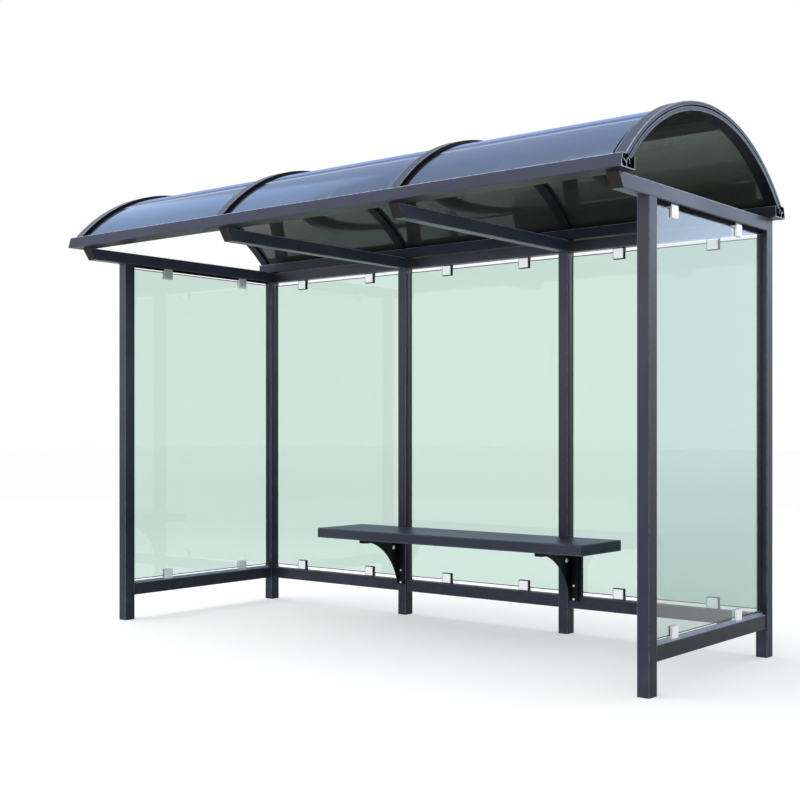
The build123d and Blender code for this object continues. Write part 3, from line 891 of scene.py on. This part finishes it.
def clamp_set(node, normal, hidden, jaws, plates):
    """The four clamps of one sheet of glass."""
    low, high = box(node)
    along = 1 - normal
    middle = (low + high) / 2
    parts = []
    for u in (low[along] + CLAMP_WIDTH / 2, high[along] - CLAMP_WIDTH / 2):
        for z, rail_way in ((low[2] + CLAMP_HEIGHT / 2, -1), (high[2] - CLAMP_HEIGHT / 2, 1)):
            centre = middle.copy()
            centre[along], centre[2] = u, z
            parts += clamp(centre, normal, rail_way, hidden, jaws, plates)
    piece(f"{node}_jaws", parts, [node])


def bench():
    """The seat: a hollow slab with rounded edges and a cap let into each end."""
    low, high = box("bench_seat")
    cap, gap = 0.0030, 0.0005
    shift = np.array([cap, 0, 0])
    body = plate(low + shift, high - shift, 0, radius=0.004, lip=0.0008)
    # faces that look up take the lit copy of the paint: painted light
    parts = [(body, [bench_paint, bench_lit_top], (face_normals(body)[:, 2] > 0.9).astype(int))]
    for at, way in ((low[0], 1), (high[0], -1)):
        ends = sorted((at, at + way * (cap - gap)))
        cap_low, cap_high = np.array([ends[0], low[1], low[2]]), np.array([ends[1], high[1], high[2]])
        parts.append((plate(cap_low, cap_high, 0, radius=0.004, lip=0.0009), bench_paint))
    piece("bench_seat_slab", parts, ["bench_seat"])


def bracket(node):
    """A seat bracket: top flange, back flange, and a gusset with a hollow front edge."""
    low, high = box(node)
    flange, skin, toe, reach, meet, radius = 0.022, 0.010, 0.020, 0.290, 0.278, 0.350
    top = plate((low[0], low[1], high[2] - flange), high, 2, radius=0.003, lip=0.0015)
    back_high = (high[0], high[1], high[2] - flange)
    back = plate((low[0], high[1] - skin, low[2]), back_high, 1, radius=0.003, lip=0.0015)
    one, two = np.array([-toe, -meet]), np.array([-reach, -flange])
    chord = np.linalg.norm(two - one)
    half_turn = np.degrees(np.arcsin(chord / 2 / radius))
    along, facing = (two - one) / chord, np.array([two[1] - one[1], one[0] - two[0]]) / chord
    middle = (one + two) / 2 - facing * np.sqrt(radius ** 2 - chord ** 2 / 4)
    start = np.degrees(np.arctan2(*(one - middle)[::-1]))
    hollow = arc(middle, radius, start, start + 2 * half_turn, 21)
    foot = high[2] - low[2] - 0.002
    section = np.concatenate([
        [(-0.002, -0.002), (-0.002, -foot), (-toe + 0.004, -foot), (-toe, -foot + 0.004)], hollow,
        [(-reach, -0.002)],
    ])
    rows = cut_ends(GUSSET - 0.0003, 0.0012)
    loops = [(section[::-1], np.full(len(section), 0.4))]
    gusset = extruded(loops, rows, straight((low[0] + 0.0003, high[1], high[2]), Y, Z, X))
    piece(f"{node}_plates", [(s, bracket_paint) for s in (top, back, gusset)], [node])


def bolt_head(at, across, out, radius, tall):
    """A domed head: its rim goes up a little, then r (1 - cos t) in and h sin t out."""
    turn = np.linspace(0, np.pi / 2, 6)
    along = np.r_[0.0, 0.0012 + (tall - 0.0012) * np.sin(turn)]
    depth = np.r_[0.0, (radius - 0.001) * (1 - np.cos(turn))]
    place = straight(at, across, Z, out)
    return extruded([circle(radius, count=28)], (along, depth, np.zeros(7)), place), zinc


def bolts():
    """Domed bolt heads: two on the back flange of each bracket and a wide one on its gusset."""
    low, high = box("bracket_bolts")
    radius, wide = 0.007, 0.014
    parts = []
    for node in ("bench_bracket_left", "bench_bracket_right"):
        corner, far = box(node)
        for drop in BACK_BOLT_DROPS:
            at = ((corner[0] + far[0]) / 2, high[1], far[2] - drop)
            parts.append(bolt_head(at, X, -Y, radius, 0.006))
        at = (corner[0] + GUSSET, far[1] - GUSSET_BOLT_IN, far[2] - GUSSET_BOLT_DROP)
        parts.append(bolt_head(at, Y, X, wide, 0.005))
    piece("bracket_bolts_heads", parts, ["bracket_bolts"])


def packer():
    """The plate that fills the gap beside the right bracket."""
    low, high = box("bracket_packer")
    skin = plate(low, high, 1, radius=0.002, lip=0.001)
    piece("bracket_packer_plate", [(skin, bracket_paint)], ["bracket_packer"])


for node in POSTS:
    post(node)
for line in LINES:
    beam(f"cross_beam_{line}")
    rib(f"roof_rib_{line}")
for bay in BAYS:
    rail(f"top_rail_{bay}")
    rail(f"bottom_rail_{bay}")
    roof_sheet(f"roof_sheet_{bay}")
    pane(f"glass_back_{bay}", 1, glass)
    clamp_set(f"clamps_back_{bay}", 1, 1, clamp_body, chrome)
for end in ("left", "right"):
    rail(f"side_rail_{end}")
    pane(f"glass_side_{end}", 0, glass if end == "left" else right_glass_with_reflection)
    clamp_set(f"clamps_side_{end}", 0, -1, chrome, bright)
    end_strips(end)
    bracket(f"bench_bracket_{end}")
gutter("gutter_front", -1)
gutter("gutter_back", 1)
seals()
bench()
bolts()
packer()

# ---- stage ------------------------------


def pale_floor():
    """A large pale floor: it takes the light and the shadows, and shows as white in the distance.

    It glows a little for rays that show, less from 3 m to 9 m out, where no shadow lies on it.
    """
    reach = 60.0
    mesh = bpy.data.meshes.new("floor")
    corners = [(-reach, -reach, 0), (reach, -reach, 0), (reach, reach, 0), (-reach, reach, 0)]
    mesh.from_pydata(corners, [], [(0, 1, 2, 3)])
    made = bpy.data.objects.new("floor", mesh)
    bpy.context.scene.collection.objects.link(made)
    material, tree, shader = finish("pale floor")
    seen = rays_that_show(tree)
    shader.inputs["Base Color"].default_value = (0.80, 0.80, 0.80, 1)
    shader.inputs["Roughness"].default_value = 1.0
    shader.inputs["Specular IOR Level"].default_value = 0.0
    shader.inputs["Emission Color"].default_value = (1, 1, 1, 1)
    place = add(tree, "TexCoord").outputs["Object"]
    away = add(tree, "VectorMath", {0: place}, operation="LENGTH").outputs["Value"]
    strength = ramp_of(tree, away, 3.0, 9.0, 0.40, 0.29)
    tree.links.new(math_of(tree, "MULTIPLY", seen, strength), shader.inputs["Emission Strength"])
    mesh.materials.append(material)


def rays_that_show(tree):
    """1 for rays that come from the camera, a reflection or glass, and 0 for the rest."""
    path = add(tree, "LightPath").outputs
    seen = math_of(tree, "MAXIMUM", path["Is Camera Ray"], path["Is Glossy Ray"])
    return math_of(tree, "MAXIMUM", seen, path["Is Transmission Ray"])


def white_world(level):
    """White wherever it shows; its light on the object is the given level."""
    world = bpy.data.worlds.new("studio")
    bpy.context.scene.world = world
    world.use_nodes = True
    tree = world.node_tree
    shown = math_of(tree, "MULTIPLY_ADD", rays_that_show(tree), 1 - level, level)
    back = tree.nodes["Background"]
    back.inputs["Color"].default_value = (1, 1, 1, 1)
    tree.links.new(shown, back.inputs["Strength"])


def aimed(made, way):
    """Turns a lamp to shine against the direction way."""
    made.rotation_euler = Vector(way).to_track_quat("Z", "Y").to_euler()


def soft_sun(name, way, level, spread, glossy=True):
    """A sun from the direction way; level is how bright it makes a white face turned to it.

    With glossy off it isn't seen in reflections or through glass.
    """
    lamp = bpy.data.lights.new(name, "SUN")
    lamp.energy = level * math.pi
    lamp.angle = math.radians(spread)
    made = bpy.data.objects.new(name, lamp)
    bpy.context.scene.collection.objects.link(made)
    made.visible_glossy = made.visible_transmission = glossy
    aimed(made, way)


def soft_box(name, place, target, size, level, colour, glossy=True):
    """A rectangular lamp; level is its own brightness, where 1 is white.

    It is seen only in reflections, and with glossy off not even there.
    """
    lamp = bpy.data.lights.new(name, "AREA")
    lamp.shape = "RECTANGLE"
    lamp.size, lamp.size_y = size
    lamp.energy = level * math.pi * size[0] * size[1]
    lamp.color = colour
    made = bpy.data.objects.new(name, lamp)
    bpy.context.scene.collection.objects.link(made)
    made.location = place
    aimed(made, Vector(place) - Vector(target))
    made.visible_camera = False
    made.visible_transmission = False
    made.visible_glossy = glossy


def camera():
    """A level camera before the right end, with a little rise of the frame."""
    lens = bpy.data.cameras.new("view")
    lens.lens = 56.68
    lens.sensor_width = 36
    lens.shift_y = 0.0366
    made = bpy.data.objects.new("view", lens)
    bpy.context.scene.collection.objects.link(made)
    made.location = (4.320, -5.311, 1.143)
    made.rotation_euler = (math.pi / 2, 0, 0.6833)
    bpy.context.scene.camera = made


pale_floor()
white_world(0.45)
soft_sun("top", (-0.25, -0.25, 0.93), 0.42, 60)
soft_sun("fill", (-0.10, -0.99, 0.021), 0.59, 4, False)
soft_box("key", (7.8, 13.0, 6.6), (7.8, 0, 6.6), (5.2, 5.0), 3.7, (0.49, 0.70, 1.0))
soft_box("left", (-9.6, 1.6, 8.2), (-1.0, 0, 2.2), (6.0, 6.0), 0.7, (0.90, 0.95, 1.0))
soft_box("front", (-8.0, -9.5, 3.0), (0, 0, 1.2), (5.0, 5.0), 1.3, (0.92, 0.95, 1.0), False)
camera()
bpy.context.scene.view_settings.view_transform = "Standard"
